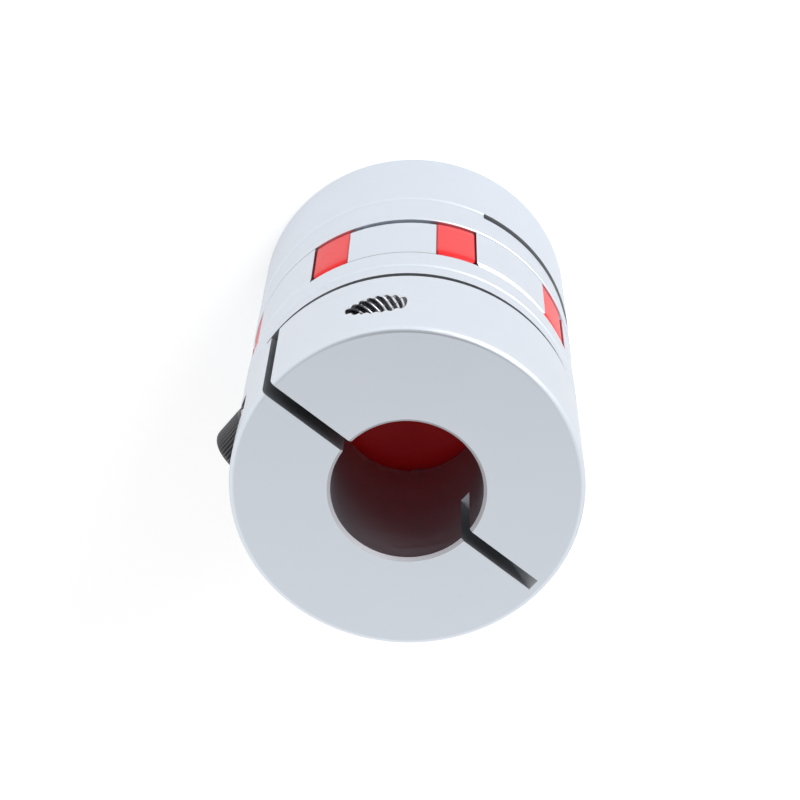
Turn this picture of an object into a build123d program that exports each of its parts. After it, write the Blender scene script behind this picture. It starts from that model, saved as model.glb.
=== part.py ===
"""Clamp-type jaw coupling: two aluminium hubs, an eight-leg spider and one clamp screw in each hub.

Millimetres. The coupling stands on the end face of its lower hub. The origin is the centre of that
face and +Z runs up the axis. The upper hub's jaws lie on X and Y, and the lower hub's half way between.
Each hub is drawn in the frame of its own end face, whose z axis points into the hub.
"""

import os

from build123d import *

os.makedirs("parts", exist_ok=True)

# Hub body
outer_d = 65.0
body_len = 36.0
bore_d = 28.0
bore_chamfer = 0.6
rim_chamfer = 0.6
body_edge_chamfer = 0.2

# Turned groove behind the clamp end
groove_depth = 0.25
groove_slope = 0.4
groove_end = 30.0

# Clamp end, slit along one side and freed from the body by a slot, both cut with a round saw
clamp_len = 24.0
saw_r = 63.0
slit_w = 2.4
slit_angle = 46.0
hinge_wall = 2.1
slot_w = 2.0
slot_toward = 70.0
slot_past = 0.5

# Jaws and spider legs
jaw_count = 4
jaw_space = 18.0
tip_gap = 1.5
tip_chamfer = 0.5
jaw_setback = 0.15
jaw_corner_chamfer = 0.8
flank_clearance = 0.1

# Spider
spider_thickness = 15.0
spider_gap = 0.7
web_d = 30.8
web_clearance = 0.6
leg_root_w = 7.6
leg_mid_w = 9.6
leg_tip_w = 7.4
leg_sink = 1.5
leg_setback = 0.4
leg_root_radius = 1.2
leg_edge_chamfer = 0.8

# M8 clamp screw, lock washer and their holes
thread_d = 8.0
thread_clearance = 0.05
screw_len = 25.0
screw_tip_chamfer = 1.0
head_d = 13.0
head_height = 8.0
head_edge_chamfer = 0.8
socket_width = 6.0
socket_depth = 4.0
washer_d = 12.7
washer_hole_d = 8.2
washer_thickness = 2.0
washer_split = 1.0
washer_split_lean = 20.0
screw_inset = 8.3
screw_height = 11.5
seat_depth = 9.5
through_d = 9.0
counterbore_d = 15.0

# How far cuts run past the metal
cut_over = 1.0

# Derived sizes
outer_r = outer_d / 2
bore_r = bore_d / 2
total_len = 2 * body_len + jaw_space
jaw_len = jaw_space - tip_gap
jaw_outer_r = outer_r - jaw_setback
web_r = web_d / 2
jaw_inner_r = web_r + web_clearance
leg_count = 2 * jaw_count
leg_pitch = 360 / leg_count
leg_outer_r = outer_r - leg_setback
flank_start = web_r - leg_sink
flank_end = outer_r + cut_over
groove_r = outer_r - groove_depth
slit_depth = clamp_len + slot_w / 2
screw_offset = outer_r - screw_inset

lower_end = Plane.XY
upper_end = Plane(origin=(0, 0, total_len), x_dir=(1, 0, 0), z_dir=(0, 0, -1))


def off_axis(edge):
    """Distance from the coupling's axis to the middle of an upright edge."""
    return round(Vector(edge.center().X, edge.center().Y).length, 3)


def leg_sketch(grow):
    """One spider leg along +X, with crowned flanks that stand out by grow on each side."""
    start = (flank_start, leg_root_w / 2 + grow)
    crown = ((flank_start + flank_end) / 2, leg_mid_w / 2 + grow)
    end = (flank_end, leg_tip_w / 2 + grow)
    with BuildSketch() as leg:
        with BuildLine():
            ThreePointArc(start, crown, end)
            Line(end, (end[0], -end[1]))
            ThreePointArc((end[0], -end[1]), (crown[0], -crown[1]), (start[0], -start[1]))
            Line((start[0], -start[1]), start)
        make_face()
    return leg.sketch


def jaw_share_sketch():
    """The slice of the ring, centred on +X, that belongs to one jaw."""
    with BuildSketch() as share:
        with BuildLine():
            near_ray = PolarLine((0, 0), outer_d, -leg_pitch / 2)
            far_ray = PolarLine((0, 0), outer_d, leg_pitch / 2)
            Line(near_ray @ 1, far_ray @ 1)
        make_face()
    return share.sketch


def clamp_plane(end_face, jaw_angle):
    """Frame of a hub's clamp: x runs out along the open slit and +y is the half that the screw pulls in."""
    return Plane(end_face.location * Rotation(0, 0, jaw_angle + slit_angle))


def screw_plane(end_face, jaw_angle, depth):
    """Plane across the clamp screw, depth from the slit, with its z axis pointing to the screw head."""
    clamp = clamp_plane(end_face, jaw_angle)
    centre = clamp.from_local_coords((screw_offset, -depth, screw_height))
    return Plane(origin=centre, x_dir=clamp.x_dir, z_dir=-clamp.y_dir)


def make_hub(end_face, jaw_angle):
    """One hub: turned body, milled jaws, sawn slits and the clamp screw's holes."""
    axis = Axis(end_face.origin, end_face.z_dir)
    section = Plane(origin=end_face.origin, x_dir=end_face.x_dir, z_dir=-end_face.y_dir)
    clamp = clamp_plane(end_face, jaw_angle)
    with BuildPart() as hub:
        # Turned body
        with BuildSketch(section):
            with BuildLine():
                Polyline(
                    (bore_r + bore_chamfer, 0),
                    (outer_r - rim_chamfer, 0),
                    (outer_r, rim_chamfer),
                    (outer_r, clamp_len),
                    (groove_r, clamp_len + groove_slope),
                    (groove_r, groove_end - groove_slope),
                    (outer_r, groove_end),
                    (outer_r, body_len - body_edge_chamfer),
                    (outer_r - body_edge_chamfer, body_len),
                    (bore_r + bore_chamfer, body_len),
                    (bore_r, body_len - bore_chamfer),
                    (bore_r, bore_chamfer),
                    close=True,
                )
            make_face()
        revolve(axis=axis)

        # Jaws: the ring left between the legs, less the other hub's share of it
        with BuildSketch(end_face.offset(body_len)) as jaws:
            Circle(jaw_outer_r)
            Circle(jaw_inner_r, mode=Mode.SUBTRACT)
            with PolarLocations(0, leg_count, start_angle=jaw_angle + leg_pitch / 2):
                add(leg_sketch(flank_clearance), mode=Mode.SUBTRACT)
            with PolarLocations(0, jaw_count, start_angle=jaw_angle + leg_pitch):
                add(jaw_share_sketch(), mode=Mode.SUBTRACT)
            chamfer(jaws.vertices().group_by(SortBy.DISTANCE)[0], jaw_corner_chamfer)
        extrude(amount=jaw_len)
        tips = hub.faces().sort_by(axis)[-jaw_count:]
        chamfer(tips.edges(), tip_chamfer)

        # Slit, sawn in from its open side: the saw's edge leaves a round floor at the far end
        slit_end = outer_r - hinge_wall
        saw_centre = (saw_r**2 - (saw_r - slit_depth) ** 2) ** 0.5 - slit_end
        with BuildSketch(Plane(origin=clamp.origin, x_dir=clamp.x_dir, z_dir=-clamp.y_dir)):
            with Locations((saw_centre, slit_depth - saw_r)):
                Circle(saw_r)
                Rectangle(outer_d, saw_r, align=Align.MIN)
        extrude(amount=slit_w / 2, both=True, mode=Mode.SUBTRACT)

        # Slot, sawn in to just past the axis across the half that the screw pulls in
        with BuildSketch(clamp.offset(clamp_len)):
            with PolarLocations(saw_r - slot_past, 1, start_angle=slot_toward):
                Circle(saw_r)
        extrude(amount=slot_w, mode=Mode.SUBTRACT)

        # Clamp screw: counterbore and through hole on one side, tapped hole on the other
        with Locations(screw_plane(end_face, jaw_angle, outer_r)):
            CounterBoreHole(through_d / 2, counterbore_d / 2, outer_r - seat_depth, depth=outer_r)
        with Locations(screw_plane(end_face, jaw_angle, 0)):
            Hole(thread_d / 2, depth=outer_r)
    return hub


def make_screw(end_face, jaw_angle):
    """Socket head screw, its head on the lock washer."""
    seat = screw_plane(end_face, jaw_angle, seat_depth + washer_thickness)
    with BuildPart() as screw:
        with BuildSketch(seat):
            Circle(head_d / 2)
        extrude(amount=head_height)
        chamfer(screw.edges().sort_by(Axis(seat.origin, seat.z_dir))[-1], head_edge_chamfer)
        with BuildSketch(seat.offset(head_height)):
            RegularPolygon(socket_width / 2, 6, major_radius=False)
        extrude(amount=-socket_depth, mode=Mode.SUBTRACT)
        with BuildSketch(seat):
            Circle(thread_d / 2 - thread_clearance)
        extrude(amount=-screw_len)
        chamfer(screw.edges().sort_by(Axis(seat.origin, seat.z_dir))[0], screw_tip_chamfer)
    return screw


def make_washer(end_face, jaw_angle):
    """Split lock washer, drawn flat by the screw."""
    seat = screw_plane(end_face, jaw_angle, seat_depth)
    with BuildPart() as washer:
        with BuildSketch(seat):
            Circle(washer_d / 2)
            Circle(washer_hole_d / 2, mode=Mode.SUBTRACT)
        extrude(amount=washer_thickness)
        split = Plane(seat.offset(washer_thickness / 2).location * Rotation(washer_split_lean, 0, 0))
        with BuildSketch(split):
            with Locations((washer_d / 2, 0)):
                Rectangle(washer_d / 2, washer_split)
        extrude(amount=washer_thickness, both=True, mode=Mode.SUBTRACT)
    return washer


# Upper hub
upper_hub = make_hub(upper_end, 0)
upper_hub.part.label = "upper_hub"
export_step(upper_hub.part, "parts/upper_hub.step")

# Lower hub, its jaws turned by half a jaw pitch
lower_hub = make_hub(lower_end, leg_pitch)
lower_hub.part.label = "lower_hub"
export_step(lower_hub.part, "parts/lower_hub.step")

# Spider: legs on a solid web, with rounded roots and chamfered ends
with BuildPart() as spider:
    with BuildSketch(lower_end.offset(body_len + spider_gap)):
        with PolarLocations(0, leg_count, start_angle=leg_pitch / 2):
            add(leg_sketch(0))
        Circle(leg_outer_r, mode=Mode.INTERSECT)
        Circle(web_r)
    extrude(amount=spider_thickness)
    roots = spider.edges().filter_by(Axis.Z).group_by(off_axis)[0]
    fillet(roots, leg_root_radius)
    chamfer(spider.faces().filter_by(Axis.Z).edges(), leg_edge_chamfer)
spider.part.label = "spider"
export_step(spider.part, "parts/spider.step")

# Clamp screws
upper_clamp_screw = make_screw(upper_end, 0)
upper_clamp_screw.part.label = "upper_clamp_screw"
export_step(upper_clamp_screw.part, "parts/upper_clamp_screw.step")

lower_clamp_screw = make_screw(lower_end, leg_pitch)
lower_clamp_screw.part.label = "lower_clamp_screw"
export_step(lower_clamp_screw.part, "parts/lower_clamp_screw.step")

# Lock washers
upper_lock_washer = make_washer(upper_end, 0)
upper_lock_washer.part.label = "upper_lock_washer"
export_step(upper_lock_washer.part, "parts/upper_lock_washer.step")

lower_lock_washer = make_washer(lower_end, leg_pitch)
lower_lock_washer.part.label = "lower_lock_washer"
export_step(lower_lock_washer.part, "parts/lower_lock_washer.step")
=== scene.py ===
"""Visual model of a clamp-type jaw coupling.

Satin aluminium hubs with cut threads, a red spider and black clamp screws on split lock washers.
Piece sizes are in millimetres and turned into metres when a mesh is made.
"""

import math

import bmesh
import bpy
import numpy as np
from mathutils import Matrix, Vector


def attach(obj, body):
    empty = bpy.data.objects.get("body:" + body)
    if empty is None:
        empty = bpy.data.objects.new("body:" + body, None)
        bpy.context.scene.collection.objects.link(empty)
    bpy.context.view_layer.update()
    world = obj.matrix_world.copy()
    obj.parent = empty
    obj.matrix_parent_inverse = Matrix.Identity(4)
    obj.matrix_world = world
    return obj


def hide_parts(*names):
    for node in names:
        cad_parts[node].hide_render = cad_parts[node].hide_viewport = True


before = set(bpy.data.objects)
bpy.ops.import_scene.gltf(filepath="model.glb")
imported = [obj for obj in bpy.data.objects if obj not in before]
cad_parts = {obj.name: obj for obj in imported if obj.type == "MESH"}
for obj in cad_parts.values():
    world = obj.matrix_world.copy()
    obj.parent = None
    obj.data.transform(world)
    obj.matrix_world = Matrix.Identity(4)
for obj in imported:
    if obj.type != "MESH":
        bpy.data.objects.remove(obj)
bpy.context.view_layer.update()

MM = 0.001
TURN = 2 * np.pi

# Sizes shared with the solids
OUTER_R = 32.5
TOTAL_LEN = 90.0
UPPER_SLIT_ANGLE = 46.0
LOWER_SLIT_ANGLE = 91.0
RIM_CHAMFER = 0.6
SCREW_OFFSET = 24.2
SCREW_HEIGHT = 11.5
SEAT_DEPTH = 9.5
WASHER_THICKNESS = 2.0
SCREW_TIP = 13.5
HEAD_R = 6.5
HEAD_HEIGHT = 8.0
KNURL_DEPTH = 0.34
PITCH = 1.25
THREAD_START = 0.12


# Meshes from grids

def grid_quads(rows, cols, wrap_rows=False):
    """Corner numbers of the quads of a grid whose columns run once round and join up."""
    last = rows if wrap_rows else rows - 1
    i, j = np.meshgrid(np.arange(last), np.arange(cols), indexing="ij")
    here, below = i * cols, (i + 1) % rows * cols
    right = (j + 1) % cols
    return np.stack([here + j, below + j, below + right, here + right], axis=-1).reshape(-1, 4)


def closed_lathe(grid, start, end):
    """Points and faces of a grid closed by a fan to one point at each end of its rows."""
    rows, cols = grid.shape[:2]
    points = np.vstack([grid.reshape(-1, 3), start, end])
    j = np.arange(cols)
    right = (j + 1) % cols
    first = np.stack([np.full(cols, rows * cols), j, right], axis=-1)
    tail = (rows - 1) * cols
    final = np.stack([np.full(cols, rows * cols + 1), tail + right, tail + j], axis=-1)
    return points, grid_quads(rows, cols).tolist() + first.tolist() + final.tolist()


def make_piece(name, shells, material, sharp_deg=35.0, painted_light=None):
    """One object from a list of (points, faces) shells, smooth but for edges sharper than sharp_deg. Where the last
    argument is given, it is the painted light at each point, 0 for painted shade in a groove or on a flank, 1 lit."""
    points, faces, count = [], [], 0
    for shell_points, shell_faces in shells:
        points.append(shell_points)
        faces += [[k + count for k in face] for face in shell_faces]
        count += len(shell_points)
    mesh = bpy.data.meshes.new(name)
    mesh.from_pydata((np.vstack(points) * MM).tolist(), [], faces)
    mesh.polygons.foreach_set("use_smooth", np.ones(len(mesh.polygons), bool))
    mesh.set_sharp_from_angle(angle=math.radians(sharp_deg))
    mesh.materials.append(material)
    if painted_light is not None:
        mesh.attributes.new("painted_light", "FLOAT", "POINT").data.foreach_set("value", painted_light)
    mesh.update()
    piece = bpy.data.objects.new(name, mesh)
    bpy.context.scene.collection.objects.link(piece)
    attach(piece, "root")
    return piece


# Frames of the two clamp screws

def screw_axes(upper, slit_angle):
    """Centre of the slit on the screw's axis, and the unit vectors outwards along the slit, into the hub
    along the coupling's axis, and from the slit to the screw's head."""
    inward = np.array([0.0, 0.0, -1.0 if upper else 1.0])
    x_dir = np.array([1.0, 0.0, 0.0])
    y_dir = np.cross(inward, x_dir)
    angle = math.radians(slit_angle)
    outward = math.cos(angle) * x_dir + math.sin(angle) * y_dir
    to_head = math.sin(angle) * x_dir - math.cos(angle) * y_dir
    end = np.array([0.0, 0.0, TOTAL_LEN if upper else 0.0])
    return end + SCREW_OFFSET * outward + SCREW_HEIGHT * inward, outward, inward, to_head


def about_screw(axes, radius, turn, along):
    """Points at a radius and a turn about the screw's axis, along it from the slit towards the head."""
    centre, outward, inward, to_head = axes
    radius, turn, along = np.broadcast_arrays(radius, turn, along)
    return (centre + (radius * np.cos(turn))[..., None] * outward
            + (radius * np.sin(turn))[..., None] * inward + along[..., None] * to_head)


def thread_ridge(turn, along):
    """Height from 0 to 1 of a right-hand 60 degree thread: the distance to the crest line, which climbs one pitch
    in one turn, is 0 to 1/16 pitch on the flat crest, and the ridge falls evenly to 0 at 3/8 pitch."""
    phase = THREAD_START + along / PITCH - turn / TURN
    off_crest = np.abs(phase - np.round(phase))
    return np.clip((0.375 - off_crest) / 0.3125, 0, 1)


# Clamp screws

def screw_head(axes):
    """Knurled head about the screw's axis: a profile of radius and height carried round, with the socket's rows
    hexagonal (3 mm over the cosine of the turn from the nearest flat's middle) and the side's rows cut by
    upright V grooves whose depth fades in and out along the head. Gives the points, the faces and the painted
    light at each point, whose painted shade darkens the knurl's grooves."""
    cols = 432
    turn = np.arange(cols) / cols * TURN
    sixth = TURN / 6
    hexagon = 3.0 / np.cos(np.mod(turn, sixth) - sixth / 2)
    knurls = 54
    groove = 1 - np.abs(2 * np.mod(turn / TURN * knurls, 1) - 1)
    seat = SEAT_DEPTH + WASHER_THICKNESS
    top = seat + HEAD_HEIGHT
    edge = np.radians(np.linspace(0, 90, 9))
    edge_r, edge_h = 1.4, 1.4
    # Socket: share of the hexagon, and height
    rows = [(0.35, top - 4.3), (0.7, top - 4.15), (1.0, top - 4.0), (1.0, top - 2.0), (1.0, top - 0.45)]
    grid = [about_screw(axes, hexagon * share, turn, height) for share, height in rows]
    for share, height in ((0.5, top - 0.2), (1.0, top - 0.02)):
        grid.append(about_screw(axes, (1 - share) * hexagon + share * 3.62, turn, height))
    for radius in (3.7, 4.2, 4.8, HEAD_R - edge_r - 0.1):
        grid.append(about_screw(axes, radius, turn, top))
    # Side: radius before knurling, height, and share of the knurl's depth
    side = [(HEAD_R - edge_r + edge_r * math.sin(angle), top - edge_h + edge_h * math.cos(angle),
             max(0.0, 2 * math.sin(angle) - 1)) for angle in edge]
    side += [(HEAD_R, height, 1.0) for height in np.linspace(top - edge_h - 0.3, seat + 1.2, 9)]
    side += [(HEAD_R, seat + 0.9, 0.85), (HEAD_R, seat + 0.65, 0.4), (HEAD_R, seat + 0.5, 0.0)]
    before = len(grid)
    for radius, height, share in side:
        grid.append(about_screw(axes, radius - KNURL_DEPTH * share * groove, turn, height))
    for radius, height in ((HEAD_R, seat + 0.25), (HEAD_R - 0.2, seat + 0.02), (HEAD_R - 0.5, seat), (3.0, seat)):
        grid.append(about_screw(axes, radius, turn, height))
    centre = about_screw(axes, 0.0, 0.0, top - 4.4)
    under = about_screw(axes, 0.0, 0.0, seat)
    # Painted light: 0.6 on the socket, top and seat, and on the knurl from 1 on its ridges to 0, painted shade, in its
    # grooves.
    painted_light = np.full((len(grid), cols), 0.6)
    share = np.array([row[2] for row in side])[:, None]
    painted_light[before:before + len(side)] = (1 - share) * 0.6 + share * (1 - groove)
    return *closed_lathe(np.array(grid), centre, under), np.append(painted_light.ravel(), [0.6, 0.6])


def screw_shank(axes):
    """Threaded shank about the screw's axis: core radius plus the thread's ridge, held inside a cone at the tip
    and faded into a plain neck under the head. Gives the points, the faces and the painted light of each point."""
    cols = 72
    turn = np.arange(cols) / cols * TURN
    start, neck = SEAT_DEPTH + WASHER_THICKNESS + 0.3, SEAT_DEPTH + WASHER_THICKNESS - 1.0
    along = np.concatenate([np.linspace(start, neck, 4)[:-1], np.arange(neck, -SCREW_TIP, -PITCH / 14), [-SCREW_TIP]])
    ridge = thread_ridge(turn[None, :], along[:, None])
    fade = np.clip((neck + 0.2 - along) / 1.2, 0, 1)[:, None]
    radius = 3.31 + 0.64 * (fade * ridge + (1 - fade))
    tip_cone = 3.0 + (along[:, None] + SCREW_TIP) * 1.0
    radius = np.minimum(radius, tip_cone)
    grid = about_screw(axes, radius, turn[None, :], along[:, None])
    ends = [about_screw(axes, 0.0, 0.0, start), about_screw(axes, 0.0, 0.0, -SCREW_TIP)]
    # Painted light: 0.7 on the thread's crests down to 0, painted shade, in its roots, and 0.6 at the two ends.
    return *closed_lathe(grid, *ends), np.append((0.7 * ridge).ravel(), [0.6, 0.6])


def tapped_thread(axes):
    """Thread of the tapped hole, a ring about the screw's axis. Its inner wall is the minor radius plus the groove
    that the screw's ridge would cut, and its outer end follows the hub's outer cylinder: a point at radius r and
    turn t lies on it where the distance along is the root of R squared less (offset + r cos t) squared. Gives the
    points, the faces and the painted light at each point: painted shade down the flanks, lit on the crests."""
    cols, length = 120, 170
    turn = np.arange(cols) / cols * TURN
    wall_r, skin_r, start = 4.02, OUTER_R - 0.03, SCREW_TIP - 1.5

    def inner_radius(depth):
        return 3.36 + 0.6 * thread_ridge(turn[None, :], -depth)

    def depth_at_skin(radius):
        return np.sqrt(skin_r ** 2 - (SCREW_OFFSET + radius * np.cos(turn[None, :])) ** 2)

    # Where the inner wall first meets the hub's outer surface, at each turn
    tries = np.linspace(start, 26.5, 1500)[:, None] + 0 * turn[None, :]
    outside = tries >= depth_at_skin(inner_radius(tries))
    mouth = np.take_along_axis(tries, outside.argmax(axis=0)[None, :], axis=0)
    share = np.linspace(0, 1, length)[:, None]
    depth = start + share * (mouth - start)
    inner = inner_radius(depth)
    rim_share = np.linspace(0, 1, 5)[1:, None]
    rim = inner[-1:] + rim_share * (wall_r - inner[-1:])
    rows_r = np.vstack([inner, rim, wall_r + 0 * inner[:1]])
    rows_d = np.vstack([depth, depth_at_skin(rim), start + 0 * depth[:1]])
    rows_d[length - 1] = depth_at_skin(inner[-1:])[0]
    grid = about_screw(axes, rows_r, turn[None, :], -rows_d)
    faces = grid_quads(len(grid), cols, wrap_rows=True)[:, ::-1]
    # Painted light: 1 on the hole's crests, its rim and its outer wall, falling to 0, painted shade, down the flanks.
    painted_light = np.ones(rows_r.shape)
    painted_light[:length] = 1 - thread_ridge(turn[None, :], -depth)
    return grid.reshape(-1, 3), faces.tolist(), painted_light.ravel()


def lock_washer(axes):
    """Split lock washer: a rounded section carried from one side of the split to the other. The split's faces are
    planes leaning 20 degrees, so the turn at each end depends on the radius and height within the section."""
    inner_r, outer_r, corner = 4.1, 6.35, 0.18
    quarter = np.radians(np.linspace(0, 90, 4))
    mid_r, half_w, half_t = (inner_r + outer_r) / 2, (outer_r - inner_r) / 2, WASHER_THICKNESS / 2
    arcs = [(1, 1, 0), (-1, 1, 90), (-1, -1, 180), (1, -1, 270)]
    section_r = np.concatenate([mid_r + sx * (half_w - corner) + corner * np.cos(quarter + math.radians(a))
                                for sx, _, a in arcs])
    section_h = np.concatenate([sy * (half_t - corner) + corner * np.sin(quarter + math.radians(a))
                                for _, sy, a in arcs])
    lean = math.radians(20)
    near = np.arcsin((0.5 / math.cos(lean) + math.tan(lean) * section_h) / section_r)
    far = TURN + np.arcsin((-0.5 / math.cos(lean) + math.tan(lean) * section_h) / section_r)
    share = np.linspace(0, 1, 97)[:, None]
    turn = near + share * (far - near)
    along = SEAT_DEPTH + half_t + section_h
    grid = about_screw(axes, section_r[None, :], turn, along[None, :])
    return closed_lathe(grid, grid[0].mean(axis=0), grid[-1].mean(axis=0))


# Spider

def circle_meet(centre_a, radius_a, centre_b, radius_b, upper):
    """The point at radius_a from centre_a and radius_b from centre_b, on the side with the larger y if upper."""
    gap = centre_b - centre_a
    dist = np.hypot(*gap)
    along = (radius_a ** 2 - radius_b ** 2 + dist ** 2) / (2 * dist)
    side = math.sqrt(radius_a ** 2 - along ** 2)
    unit = gap / dist
    normal = np.array([-unit[1], unit[0]])
    picks = [centre_a + along * unit + s * side * normal for s in (1, -1)]
    return max(picks, key=lambda p: p[1]) if upper else min(picks, key=lambda p: p[1])


def arc(centre, radius, from_angle, to_angle, count, sign):
    """Points of an arc, and their outward normals, which point away from the centre if sign is 1."""
    angle = np.linspace(from_angle, to_angle, count)
    ray = np.stack([np.cos(angle), np.sin(angle)], axis=-1)
    return centre + radius * ray, sign * ray


def leg_side():
    """Half of one leg's outline, along +X, from the middle of its tip to the middle of the gap beside it:
    tip arc, rounded corner, crowned flank, root fillet and web arc, each tangent to the next."""
    web_r, tip_r, corner_r, root_r = 15.4, 32.1, 0.9, 1.2
    p, q, r = np.array([13.9, 3.8]), np.array([23.7, 4.8]), np.array([33.5, 3.7])
    left = np.array([q - p, r - q])
    right = np.array([(q @ q - p @ p) / 2, (r @ r - q @ q) / 2])
    crown = np.linalg.solve(left, right)
    crown_r = np.hypot(*(p - crown))
    origin = np.zeros(2)
    corner = circle_meet(origin, tip_r - corner_r, crown, crown_r - corner_r, True)
    root = circle_meet(origin, web_r + root_r, crown, crown_r + root_r, True)

    def heading(v):
        return math.atan2(v[1], v[0])

    corner_in, corner_out = heading(corner), heading(corner - crown)
    root_flank, root_web = heading(crown - root), heading(-root)
    if root_web > 0:
        root_web -= 2 * math.pi
    if root_flank > 0:
        root_flank -= 2 * math.pi
    parts = [
        arc(origin, tip_r, 0, corner_in, 9, 1),
        arc(corner, corner_r, corner_in, corner_out, 7, 1),
        arc(crown, crown_r, corner_out, heading(root - crown), 25, 1),
        arc(root, root_r, root_flank, root_web, 8, -1),
        arc(origin, web_r, heading(root), math.pi / 8, 6, 1),
    ]
    points = np.vstack([parts[0][0]] + [part[0][1:] for part in parts[1:]])
    normals = np.vstack([parts[0][1]] + [part[1][1:] for part in parts[1:]])
    return points, normals


def spider_shell():
    """Eight-leg spider, and the painted light at each of its points, 0 for the painted shade of a flank and 1 on a
    tip: its outline, with the outward normal at each point, is carried over a profile of drop and inset, a quarter
    ellipse at each end, and then drawn in to the middle of each face. The ellipse is taller at the upper end, and
    shrinks to 0.3 of its size from the legs to the web."""
    half, half_n = leg_side()
    mirror = np.array([1.0, -1.0])
    whole = np.vstack([(half * mirror)[::-1][:-1], half[:-1]])
    whole_n = np.vstack([(half_n * mirror)[::-1][:-1], half_n[:-1]])
    angles = np.pi / 8 + np.arange(8) * np.pi / 4
    turns = np.array([[[np.cos(a), np.sin(a)], [-np.sin(a), np.cos(a)]] for a in angles])
    outline = np.vstack([whole @ t for t in turns])
    normal = np.vstack([whole_n @ t for t in turns])
    soft = np.clip((np.hypot(*outline.T) - 15.4) / 4.0, 0.3, 1.0)[:, None]

    def end_rows(height, inwards, inset, rise):
        edge = outline - inset * soft * normal
        rows = [(share * edge, 0.0) for share in (0.12, 0.3, 0.5, 0.7, 0.85, 0.94)]
        rows.append((edge - 0.12 * normal, 0.0))
        for angle in np.radians(np.linspace(0, 90, 8)):
            rows.append((outline - inset * soft * (1 - math.sin(angle)) * normal, rise * soft * (1 - math.cos(angle))))
        return [np.column_stack([xy, height + inwards * drop + 0 * xy[:, :1]]) for xy, drop in rows]

    top, bottom = end_rows(51.7, -1, 0.85, 1.6), end_rows(36.7, 1, 0.45, 0.45)
    middle = [top[-1] + share * (bottom[-1] - top[-1]) for share in np.linspace(0, 1, 7)[1:-1]]
    grid = np.array(top + middle + bottom[::-1])
    # Painted shade: the flanks, whose outline faces away from the outside, go to 0 and take the dark colour; the end
    # faces are painted lit at 1.
    facing_out = (outline * normal).sum(axis=1) / np.hypot(*outline.T)
    painted_light = np.tile(np.clip((facing_out - 0.72) / 0.24, 0, 1), (len(grid), 1))
    painted_light[:7] = painted_light[-7:] = 1
    return *closed_lathe(grid, [0, 0, 51.7], [0, 0, 36.7]), np.append(painted_light.ravel(), [1, 1])


# Materials

def new_material(name):
    material = bpy.data.materials.new(name)
    material.use_nodes = True
    return material, material.node_tree.nodes, material.node_tree.links


def math_node(nodes, links, operation, a, b=None):
    """A Math node fed by sockets or plain numbers. Returns its output."""
    node = nodes.new("ShaderNodeMath")
    node.operation = operation
    for socket, value in zip(node.inputs, (a, b)):
        if isinstance(value, (int, float)):
            socket.default_value = value
        elif value is not None:
            links.new(value, socket)
    return node.outputs[0]


def build_turned_lines():
    """Shader node group: fine lines that run round the Z axis, as a lathe leaves them. A noise is read at the
    radius and height, stretched across the lines and hardly at all along them."""
    group = bpy.data.node_groups.new("turned_lines", "ShaderNodeTree")
    group.interface.new_socket("Vector", in_out="INPUT", socket_type="NodeSocketVector")
    spacing = group.interface.new_socket("Lines per metre", in_out="INPUT", socket_type="NodeSocketFloat")
    spacing.default_value = 4000.0
    group.interface.new_socket("Lines", in_out="OUTPUT", socket_type="NodeSocketFloat")
    group.interface.new_socket("Clouds", in_out="OUTPUT", socket_type="NodeSocketFloat")
    nodes, links = group.nodes, group.links
    given, result = nodes.new("NodeGroupInput"), nodes.new("NodeGroupOutput")
    split = nodes.new("ShaderNodeSeparateXYZ")
    links.new(given.outputs["Vector"], split.inputs[0])
    x, y, z = split.outputs
    square = math_node(nodes, links, "ADD", math_node(nodes, links, "MULTIPLY", x, x),
                       math_node(nodes, links, "MULTIPLY", y, y))
    radius = math_node(nodes, links, "SQRT", square)
    lines_r = math_node(nodes, links, "MULTIPLY", radius, given.outputs["Lines per metre"])
    lines_z = math_node(nodes, links, "MULTIPLY", z, given.outputs["Lines per metre"])
    round_x = math_node(nodes, links, "MULTIPLY", math_node(nodes, links, "DIVIDE", x, radius), 1.5)
    round_y = math_node(nodes, links, "MULTIPLY", math_node(nodes, links, "DIVIDE", y, radius), 1.5)
    joined = nodes.new("ShaderNodeCombineXYZ")
    for value, socket in zip((lines_r, lines_z, round_x), joined.inputs):
        links.new(value, socket)
    lines = nodes.new("ShaderNodeTexNoise")
    lines.noise_dimensions = "4D"
    lines.inputs["Scale"].default_value = 1.0
    lines.inputs["Detail"].default_value = 2.0
    links.new(joined.outputs[0], lines.inputs["Vector"])
    links.new(round_y, lines.inputs["W"])
    clouds = nodes.new("ShaderNodeTexNoise")
    clouds.inputs["Scale"].default_value = 55.0
    clouds.inputs["Detail"].default_value = 3.0
    links.new(given.outputs["Vector"], clouds.inputs["Vector"])
    links.new(lines.outputs["Fac"], result.inputs["Lines"])
    links.new(clouds.outputs["Fac"], result.inputs["Clouds"])
    return group


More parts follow.
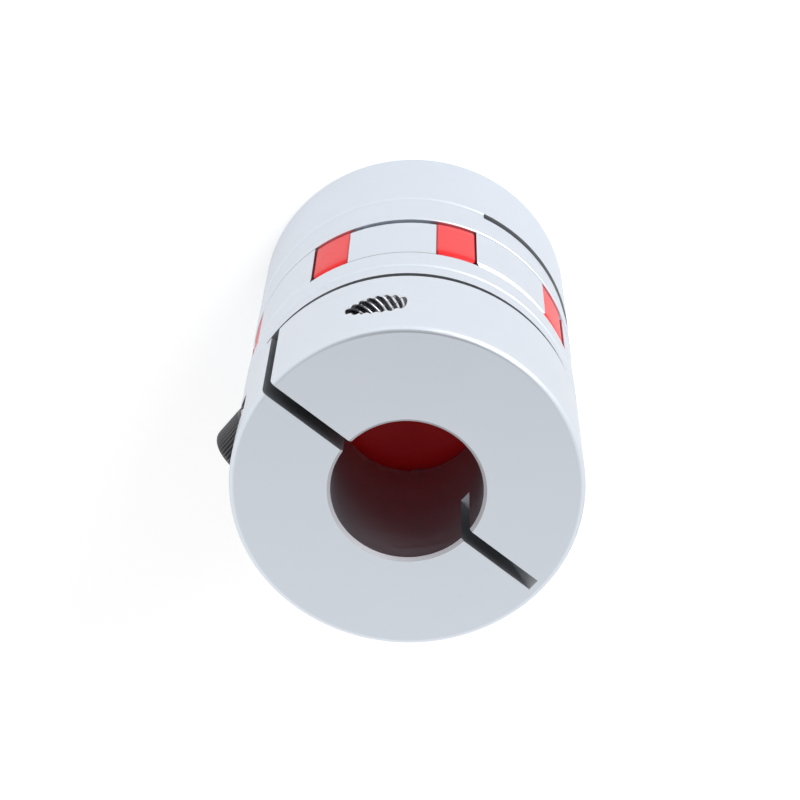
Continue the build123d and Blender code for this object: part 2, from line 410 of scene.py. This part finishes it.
def build_fine_grain():
    """Shader node group: a fine even grain and a soft large variation, for moulded and blackened surfaces."""
    group = bpy.data.node_groups.new("fine_grain", "ShaderNodeTree")
    group.interface.new_socket("Vector", in_out="INPUT", socket_type="NodeSocketVector")
    size = group.interface.new_socket("Grain scale", in_out="INPUT", socket_type="NodeSocketFloat")
    size.default_value = 2500.0
    group.interface.new_socket("Grain", in_out="OUTPUT", socket_type="NodeSocketFloat")
    group.interface.new_socket("Clouds", in_out="OUTPUT", socket_type="NodeSocketFloat")
    nodes, links = group.nodes, group.links
    given, result = nodes.new("NodeGroupInput"), nodes.new("NodeGroupOutput")
    grain = nodes.new("ShaderNodeTexNoise")
    grain.inputs["Detail"].default_value = 2.0
    links.new(given.outputs["Vector"], grain.inputs["Vector"])
    links.new(given.outputs["Grain scale"], grain.inputs["Scale"])
    clouds = nodes.new("ShaderNodeTexNoise")
    clouds.inputs["Scale"].default_value = 90.0
    clouds.inputs["Detail"].default_value = 3.0
    links.new(given.outputs["Vector"], clouds.inputs["Vector"])
    links.new(grain.outputs["Fac"], result.inputs["Grain"])
    links.new(clouds.outputs["Fac"], result.inputs["Clouds"])
    return group


turned_lines = build_turned_lines()
fine_grain = build_fine_grain()


def ramp_between(nodes, links, factor, low, high):
    """Map Range of a factor from 0.3 to 0.7 onto low to high. Returns its output."""
    node = nodes.new("ShaderNodeMapRange")
    node.inputs["From Min"].default_value = 0.3
    node.inputs["From Max"].default_value = 0.7
    node.inputs["To Min"].default_value = low
    node.inputs["To Max"].default_value = high
    links.new(factor, node.inputs["Value"])
    return node.outputs["Result"]


def mix_colours(nodes, links, factor, first, second):
    """Colour between first and second by a factor. Returns its output."""
    node = nodes.new("ShaderNodeMix")
    node.data_type = "RGBA"
    node.inputs[6].default_value = (*first, 1)
    node.inputs[7].default_value = (*second, 1)
    links.new(factor, node.inputs[0])
    return node.outputs[2]


def add_bump(nodes, links, height, strength, distance, shader):
    node = nodes.new("ShaderNodeBump")
    node.inputs["Strength"].default_value = strength
    node.inputs["Distance"].default_value = distance
    links.new(height, node.inputs["Height"])
    links.new(node.outputs["Normal"], shader.inputs["Normal"])


def satin_aluminium():
    """Clear anodised aluminium over fine turning: the lines stir the roughness and normal a little. A narrow grey
    line of painted shade darkens the foot of the jaws, 8.45 to 9 mm from the middle of the coupling's length."""
    material, nodes, links = new_material("satin_aluminium")
    shader = nodes["Principled BSDF"]
    place = nodes.new("ShaderNodeTexCoord")
    finish = nodes.new("ShaderNodeGroup")
    finish.node_tree = turned_lines
    finish.inputs["Lines per metre"].default_value = 5200.0
    links.new(place.outputs["Object"], finish.inputs["Vector"])
    tone = mix_colours(nodes, links, finish.outputs["Clouds"], (0.765, 0.815, 0.885), (0.795, 0.845, 0.915))
    split = nodes.new("ShaderNodeSeparateXYZ")
    links.new(place.outputs["Object"], split.inputs[0])
    # Painted shade: a grey band at the foot of the jaws, standing for the shade under the body's edge.
    off_middle = math_node(nodes, links, "ABSOLUTE", math_node(nodes, links, "SUBTRACT", split.outputs["Z"], 0.045))
    painted_foot_shade = math_node(nodes, links, "COMPARE", off_middle, 0.00872)
    painted_foot_shade.node.inputs[2].default_value = 0.00028
    foot_shade_mix = nodes.new("ShaderNodeMix")
    foot_shade_mix.data_type = "RGBA"
    links.new(painted_foot_shade, foot_shade_mix.inputs[0])
    links.new(tone, foot_shade_mix.inputs[6])
    foot_shade_mix.inputs[7].default_value = (0.44, 0.46, 0.5, 1)
    links.new(foot_shade_mix.outputs[2], shader.inputs["Base Color"])
    shader.inputs["Metallic"].default_value = 1.0
    links.new(ramp_between(nodes, links, finish.outputs["Lines"], 0.30, 0.40), shader.inputs["Roughness"])
    add_bump(nodes, links, finish.outputs["Lines"], 0.12, 0.00002, shader)
    return material


def cut_aluminium():
    """Bare aluminium as a tap or a saw leaves it: brighter and rougher than the turned faces."""
    material, nodes, links = new_material("cut_aluminium")
    shader = nodes["Principled BSDF"]
    place = nodes.new("ShaderNodeTexCoord")
    grain = nodes.new("ShaderNodeGroup")
    grain.node_tree = fine_grain
    grain.inputs["Grain scale"].default_value = 4200.0
    links.new(place.outputs["Object"], grain.inputs["Vector"])
    tone = mix_colours(nodes, links, grain.outputs["Clouds"], (0.74, 0.755, 0.775), (0.84, 0.85, 0.865))
    links.new(tone, shader.inputs["Base Color"])
    shader.inputs["Metallic"].default_value = 1.0
    links.new(ramp_between(nodes, links, grain.outputs["Grain"], 0.2, 0.34), shader.inputs["Roughness"])
    add_bump(nodes, links, grain.outputs["Grain"], 0.05, 0.00002, shader)
    return material


def tapped_aluminium():
    """Aluminium of a tapped thread: painted shade makes it dark down its flanks, and it keeps its own bright colour on
    the crests, where the painted light attribute nears 1.
    """
    material, nodes, links = new_material("tapped_aluminium")
    shader = nodes["Principled BSDF"]
    place = nodes.new("ShaderNodeTexCoord")
    grain = nodes.new("ShaderNodeGroup")
    grain.node_tree = fine_grain
    grain.inputs["Grain scale"].default_value = 3000.0
    links.new(place.outputs["Object"], grain.inputs["Vector"])
    height = nodes.new("ShaderNodeAttribute")
    height.attribute_name = "painted_light"
    bright = nodes.new("ShaderNodeMapRange")
    bright.inputs["From Min"].default_value = 0.7
    bright.inputs["From Max"].default_value = 0.95
    links.new(height.outputs["Fac"], bright.inputs["Value"])
    tone = nodes.new("ShaderNodeMix")
    tone.data_type = "RGBA"
    links.new(bright.outputs["Result"], tone.inputs[0])
    # Painted shade: the dark grey down the flanks; the light grey on the crests is the aluminium's own colour.
    links.new(mix_colours(nodes, links, grain.outputs["Clouds"], (0.10, 0.10, 0.11), (0.17, 0.17, 0.18)), tone.inputs[6])
    links.new(mix_colours(nodes, links, grain.outputs["Clouds"], (0.77, 0.81, 0.87), (0.84, 0.87, 0.92)), tone.inputs[7])
    links.new(tone.outputs[2], shader.inputs["Base Color"])
    shader.inputs["Metallic"].default_value = 1.0
    links.new(ramp_between(nodes, links, grain.outputs["Grain"], 0.3, 0.42), shader.inputs["Roughness"])
    add_bump(nodes, links, grain.outputs["Grain"], 0.12, 0.00003, shader)
    return material


def machined_inside(name, low, high, rough_low, rough_high):
    """Aluminium left as the boring bar or the saw leaves it: much duller than the outside, and darker in colour as
    painted shade of the hollows it lines.
    """
    material, nodes, links = new_material(name)
    shader = nodes["Principled BSDF"]
    place = nodes.new("ShaderNodeTexCoord")
    finish = nodes.new("ShaderNodeGroup")
    finish.node_tree = turned_lines
    finish.inputs["Lines per metre"].default_value = 3200.0
    links.new(place.outputs["Object"], finish.inputs["Vector"])
    links.new(mix_colours(nodes, links, finish.outputs["Clouds"], low, high), shader.inputs["Base Color"])
    shader.inputs["Metallic"].default_value = 1.0
    links.new(ramp_between(nodes, links, finish.outputs["Lines"], rough_low, rough_high), shader.inputs["Roughness"])
    add_bump(nodes, links, finish.outputs["Lines"], 0.2, 0.00003, shader)
    return material


def red_polyurethane():
    """Glossy moulded polyurethane, slightly see-through, with a painted shade of deeper red down the flanks, where the
    painted light attribute nears 0.
    """
    material, nodes, links = new_material("red_polyurethane")
    shader = nodes["Principled BSDF"]
    place = nodes.new("ShaderNodeTexCoord")
    grain = nodes.new("ShaderNodeGroup")
    grain.node_tree = fine_grain
    grain.inputs["Grain scale"].default_value = 1600.0
    links.new(place.outputs["Object"], grain.inputs["Vector"])
    height = nodes.new("ShaderNodeAttribute")
    height.attribute_name = "painted_light"
    tone = nodes.new("ShaderNodeMix")
    tone.data_type = "RGBA"
    links.new(height.outputs["Fac"], tone.inputs[0])
    # Painted shade: the dark maroon down the flanks; the bright red is the polyurethane's own colour.
    links.new(mix_colours(nodes, links, grain.outputs["Clouds"], (0.16, 0.003, 0.006), (0.2, 0.004, 0.008)), tone.inputs[6])
    links.new(mix_colours(nodes, links, grain.outputs["Clouds"], (0.90, 0.010, 0.013), (0.95, 0.014, 0.018)), tone.inputs[7])
    links.new(tone.outputs[2], shader.inputs["Base Color"])
    links.new(ramp_between(nodes, links, grain.outputs["Grain"], 0.28, 0.34), shader.inputs["Roughness"])
    shader.inputs["IOR"].default_value = 1.5
    shader.inputs["Specular IOR Level"].default_value = 0.38
    shader.inputs["Subsurface Weight"].default_value = 0.15
    shader.inputs["Subsurface Radius"].default_value = (1.0, 0.12, 0.1)
    shader.inputs["Subsurface Scale"].default_value = 0.002
    add_bump(nodes, links, grain.outputs["Clouds"], 0.1, 0.00005, shader)
    return material


def black_oxide():
    """Blackened steel with a faint oily sheen, and painted shade that makes it darkest down the grooves of the knurl
    and the thread.
    """
    material, nodes, links = new_material("black_oxide")
    shader = nodes["Principled BSDF"]
    place = nodes.new("ShaderNodeTexCoord")
    grain = nodes.new("ShaderNodeGroup")
    grain.node_tree = fine_grain
    grain.inputs["Grain scale"].default_value = 3200.0
    links.new(place.outputs["Object"], grain.inputs["Vector"])
    height = nodes.new("ShaderNodeAttribute")
    height.attribute_name = "painted_light"
    tone = nodes.new("ShaderNodeMix")
    tone.data_type = "RGBA"
    links.new(height.outputs["Fac"], tone.inputs[0])
    # Painted shade: the near black in the grooves; the dark grey is the blackened steel's own colour.
    links.new(mix_colours(nodes, links, grain.outputs["Clouds"], (0.008, 0.008, 0.009), (0.02, 0.02, 0.022)), tone.inputs[6])
    links.new(mix_colours(nodes, links, grain.outputs["Clouds"], (0.12, 0.12, 0.13), (0.2, 0.2, 0.21)), tone.inputs[7])
    links.new(tone.outputs[2], shader.inputs["Base Color"])
    shader.inputs["Metallic"].default_value = 0.55
    links.new(ramp_between(nodes, links, grain.outputs["Grain"], 0.24, 0.36), shader.inputs["Roughness"])
    add_bump(nodes, links, grain.outputs["Grain"], 0.15, 0.00003, shader)
    return material


def spring_steel():
    """Plated spring steel of the lock washers."""
    material, nodes, links = new_material("spring_steel")
    shader = nodes["Principled BSDF"]
    place = nodes.new("ShaderNodeTexCoord")
    grain = nodes.new("ShaderNodeGroup")
    grain.node_tree = fine_grain
    grain.inputs["Grain scale"].default_value = 3800.0
    links.new(place.outputs["Object"], grain.inputs["Vector"])
    tone = mix_colours(nodes, links, grain.outputs["Clouds"], (0.5, 0.505, 0.52), (0.6, 0.605, 0.62))
    links.new(tone, shader.inputs["Base Color"])
    shader.inputs["Metallic"].default_value = 1.0
    links.new(ramp_between(nodes, links, grain.outputs["Grain"], 0.28, 0.42), shader.inputs["Roughness"])
    add_bump(nodes, links, grain.outputs["Grain"], 0.12, 0.00003, shader)
    return material


aluminium = satin_aluminium()
bare_aluminium = cut_aluminium()
thread_aluminium = tapped_aluminium()
# Painted shade: the dark colours of the bore, its chamfers and the sawn slits and slot stand for the shade inside the
# hub; their high roughness is the machined finish.
bored_aluminium_shaded = machined_inside("bored_aluminium_shaded", (0.39, 0.405, 0.45), (0.46, 0.475, 0.52), 0.42, 0.55)
chamfered_aluminium_shaded = machined_inside("chamfered_aluminium_shaded", (0.56, 0.56, 0.59), (0.64, 0.64, 0.67), 0.72, 0.82)
sawn_aluminium_shaded = machined_inside("sawn_aluminium_shaded", (0.36, 0.375, 0.4), (0.43, 0.445, 0.47), 0.46, 0.6)
red_rubber = red_polyurethane()
blackened_steel = black_oxide()
washer_steel = spring_steel()


# Pieces

def machined_faces(mesh, upper):
    """Material number of each face of a hub: 1 in the bore, 2 in the sawn slits and slot, 3 in the screw's holes,
    4 on the bore's chamfers and 0 elsewhere, from the place of its middle and the way it faces."""
    middle, facing = np.zeros((2, len(mesh.polygons), 3))
    mesh.polygons.foreach_get("center", middle.ravel())
    mesh.polygons.foreach_get("normal", facing.ravel())
    middle /= MM
    radius = np.hypot(middle[:, 0], middle[:, 1])
    to_axis = -(facing[:, :2] * middle[:, :2]).sum(axis=1) / radius
    centre, outward, inward, to_head = screw_axes(upper, UPPER_SLIT_ANGLE if upper else LOWER_SLIT_ANGLE)
    from_end = TOTAL_LEN - middle[:, 2] if upper else middle[:, 2]
    across, along_slit = (middle - centre) @ to_head, middle @ outward
    off_screw = np.hypot(along_slit - SCREW_OFFSET, from_end - SCREW_HEIGHT)
    inside = (radius < OUTER_R - 0.4) & (from_end > 0.02)
    kind = np.zeros(len(middle), np.int32)
    kind[inside & (off_screw < 7.6) & (abs(across) > 1.3)] = 3
    kind[inside & (abs(across) < 1.25) & (from_end < 25.9) & (along_slit > 1 - OUTER_R)] = 2
    kind[(radius < OUTER_R - 0.3) & (abs(from_end - 25) < 1.05)] = 2
    in_bore = (radius < 14.55) & (to_axis > 0.5)
    kind[in_bore] = 1
    kind[in_bore & (to_axis < 0.9)] = 4
    return kind


def rim_edges(work):
    """The edges of a hub's rim chamfer that run round it: both ends on its outer or on its inner circle."""
    points = np.array([vert.co[:] for vert in work.verts]) / MM
    radius = np.hypot(points[:, 0], points[:, 1])
    from_end = np.minimum(points[:, 2], TOTAL_LEN - points[:, 2])
    outer = (abs(radius - OUTER_R) < 0.01) & (abs(from_end - RIM_CHAMFER) < 0.01)
    inner = (abs(radius - OUTER_R + RIM_CHAMFER) < 0.01) & (abs(from_end) < 0.01)
    ends = np.array([[vert.index for vert in edge.verts] for edge in work.edges])
    return outer[ends].all(axis=1) | inner[ends].all(axis=1)


def smooth_hub(name, node):
    """A copy of a hub's solid, merged and smooth over its turned faces. Its rim chamfer is rounded to the 1 mm
    round that it touches, and every other sharp edge is broken by a hair."""
    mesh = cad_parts[node].data.copy()
    mesh.name = name
    mesh.attributes.remove(mesh.attributes["custom_normal"])
    work = bmesh.new()
    work.from_mesh(mesh)
    bmesh.ops.remove_doubles(work, verts=work.verts, dist=1e-6)
    bmesh.ops.dissolve_limit(work, angle_limit=math.radians(0.2), verts=work.verts, edges=work.edges)
    work.verts.index_update()
    rounded = rim_edges(work)
    work.to_mesh(mesh)
    work.free()
    weight = mesh.attributes.new("bevel_weight_edge", "FLOAT", "EDGE")
    weight.data.foreach_set("value", rounded.astype(np.float32))
    mesh.polygons.foreach_set("use_smooth", np.ones(len(mesh.polygons), bool))
    mesh.set_sharp_from_angle(angle=math.radians(30))
    mesh.materials.clear()
    for surface in (aluminium, bored_aluminium_shaded, sawn_aluminium_shaded, bare_aluminium, chamfered_aluminium_shaded):
        mesh.materials.append(surface)
    mesh.polygons.foreach_set("material_index", machined_faces(mesh, node == "upper_hub"))
    piece = bpy.data.objects.new(name, mesh)
    bpy.context.scene.collection.objects.link(piece)
    rim = piece.modifiers.new("rim_round", "BEVEL")
    rim.limit_method = "WEIGHT"
    rim.width = RIM_CHAMFER * math.sqrt(0.5) * 0.97 * MM
    rim.segments = 4
    rim.use_clamp_overlap = False
    rim.harden_normals = True
    hair = piece.modifiers.new("edge_break", "BEVEL")
    hair.limit_method = "ANGLE"
    hair.angle_limit = math.radians(35)
    hair.width = 0.08 * MM
    hair.segments = 2
    hair.harden_normals = True
    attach(piece, "root")
    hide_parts(node)
    return piece


smooth_hub("upper_hub_turned", "upper_hub")
smooth_hub("lower_hub_turned", "lower_hub")

*spider, spider_painted_light = spider_shell()
spider_piece = make_piece("spider_moulded", [spider], red_rubber, 40.0, spider_painted_light)
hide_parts("spider")

for side, is_upper, slit in (("upper", True, UPPER_SLIT_ANGLE), ("lower", False, LOWER_SLIT_ANGLE)):
    axes = screw_axes(is_upper, slit)
    *head, head_painted_light = screw_head(axes)
    *shank, shank_painted_light = screw_shank(axes)
    painted_light = np.concatenate([head_painted_light, shank_painted_light])
    screw_piece = make_piece(side + "_screw_knurled", [head, shank], blackened_steel, 50.0, painted_light)
    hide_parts(side + "_clamp_screw")
    washer_piece = make_piece(side + "_washer_split", [lock_washer(axes)], washer_steel, 40.0)
    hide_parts(side + "_lock_washer")
    *thread, thread_painted_light = tapped_thread(axes)
    make_piece(side + "_tapped_thread", [thread], thread_aluminium, 75.0, thread_painted_light)


# Floor, world and lamps

def white_floor():
    """Pale floor that shows white to the camera and in reflections, and keeps the coupling's soft shadow."""
    mesh = bpy.data.meshes.new("floor")
    corner, level = 3.0, -0.00001
    corners = [(-corner, -corner, level), (corner, -corner, level), (corner, corner, level), (-corner, corner, level)]
    mesh.from_pydata(corners, [], [(0, 1, 2, 3)])
    floor = bpy.data.objects.new("floor", mesh)
    bpy.context.scene.collection.objects.link(floor)
    material, nodes, links = new_material("floor_white")
    shader = nodes["Principled BSDF"]
    shader.inputs["Base Color"].default_value = (0.85, 0.85, 0.85, 1)
    shader.inputs["Roughness"].default_value = 0.9
    shader.inputs["Specular IOR Level"].default_value = 0.0
    path = nodes.new("ShaderNodeLightPath")
    direct = math_node(nodes, links, "MULTIPLY", path.outputs["Is Camera Ray"], 0.35)
    mirrored = math_node(nodes, links, "MULTIPLY", path.outputs["Is Glossy Ray"], 0.16)
    shader.inputs["Emission Color"].default_value = (1, 1, 1, 1)
    links.new(math_node(nodes, links, "MAXIMUM", direct, mirrored), shader.inputs["Emission Strength"])
    mesh.materials.append(material)


def soft_room():
    """World that is white to the camera. As a light it is white at the horizon and dimmer overhead, and dimmer
    low down on the side that the camera stands on."""
    world = bpy.data.worlds.new("room")
    bpy.context.scene.world = world
    world.use_nodes = True
    nodes, links = world.node_tree.nodes, world.node_tree.links
    background = nodes["Background"]
    place = nodes.new("ShaderNodeTexCoord")
    split = nodes.new("ShaderNodeSeparateXYZ")
    links.new(place.outputs["Generated"], split.inputs[0])
    height = nodes.new("ShaderNodeValToRGB")
    stops = height.color_ramp.elements
    stops[0].position, stops[0].color = 0.0, (1.0, 1.0, 1.0, 1)
    stops[1].position, stops[1].color = 1.0, (0.08, 0.08, 0.08, 1)
    for position, level in ((0.3, 0.96), (0.7, 0.88), (0.88, 0.85), (0.95, 0.5)):
        stop = stops.new(position)
        stop.color = (level, level, level, 1)
    links.new(split.outputs["Z"], height.inputs["Fac"])
    side = nodes.new("ShaderNodeVectorMath")
    side.operation = "DOT_PRODUCT"
    side.inputs[1].default_value = (0.02, -0.52, 0.85)
    links.new(place.outputs["Generated"], side.inputs[0])
    dim = nodes.new("ShaderNodeMapRange")
    dim.inputs["From Min"].default_value = 0.92
    dim.inputs["From Max"].default_value = 0.985
    dim.inputs["To Min"].default_value = 1.0
    dim.inputs["To Max"].default_value = 0.4
    links.new(side.outputs["Value"], dim.inputs["Value"])
    room = math_node(nodes, links, "MULTIPLY", height.outputs["Color"], dim.outputs["Result"])
    path = nodes.new("ShaderNodeLightPath")
    seen = math_node(nodes, links, "MAXIMUM", path.outputs["Is Camera Ray"], path.outputs["Is Transmission Ray"])
    level = nodes.new("ShaderNodeMix")
    links.new(seen, level.inputs[0])
    links.new(room, level.inputs[2])
    level.inputs[3].default_value = 1.0
    background.inputs["Color"].default_value = (1, 1, 1, 1)
    links.new(level.outputs[0], background.inputs["Strength"])


def soft_lamp(name, place, aim, size, power):
    """A large soft lamp at place, facing aim."""
    lamp = bpy.data.lights.new(name, "AREA")
    lamp.shape = "DISK"
    lamp.size = size
    lamp.energy = power
    holder = bpy.data.objects.new(name, lamp)
    bpy.context.scene.collection.objects.link(holder)
    holder.location = place
    holder.rotation_euler = (Vector(aim) - Vector(place)).to_track_quat("-Z", "Y").to_euler()


white_floor()
soft_room()
soft_lamp("side_lamp", (-0.77, -0.64, 0.45), (0, 0, 0.04), 0.7, 5.0)


# Camera, upside down as the photograph was taken, with the upper end face nearest

camera = bpy.data.cameras.new("camera")
camera.sensor_width = 36.0
camera.lens = 98.686
eye = bpy.data.objects.new("camera", camera)
bpy.context.scene.collection.objects.link(eye)
eye.location = (-0.027258, -0.184095, 0.442674)
facing = (Vector((0.002499, 0.002702, 0.045)) - Vector(eye.location)).to_track_quat("-Z", "Y")
eye.rotation_mode = "QUATERNION"
eye.rotation_quaternion = facing @ Matrix.Rotation(math.radians(-177.256), 3, "Z").to_quaternion()
camera.clip_start = 0.01
camera.clip_end = 20.0
bpy.context.scene.camera = eye

view = bpy.context.scene.view_settings
view.view_transform = "Standard"
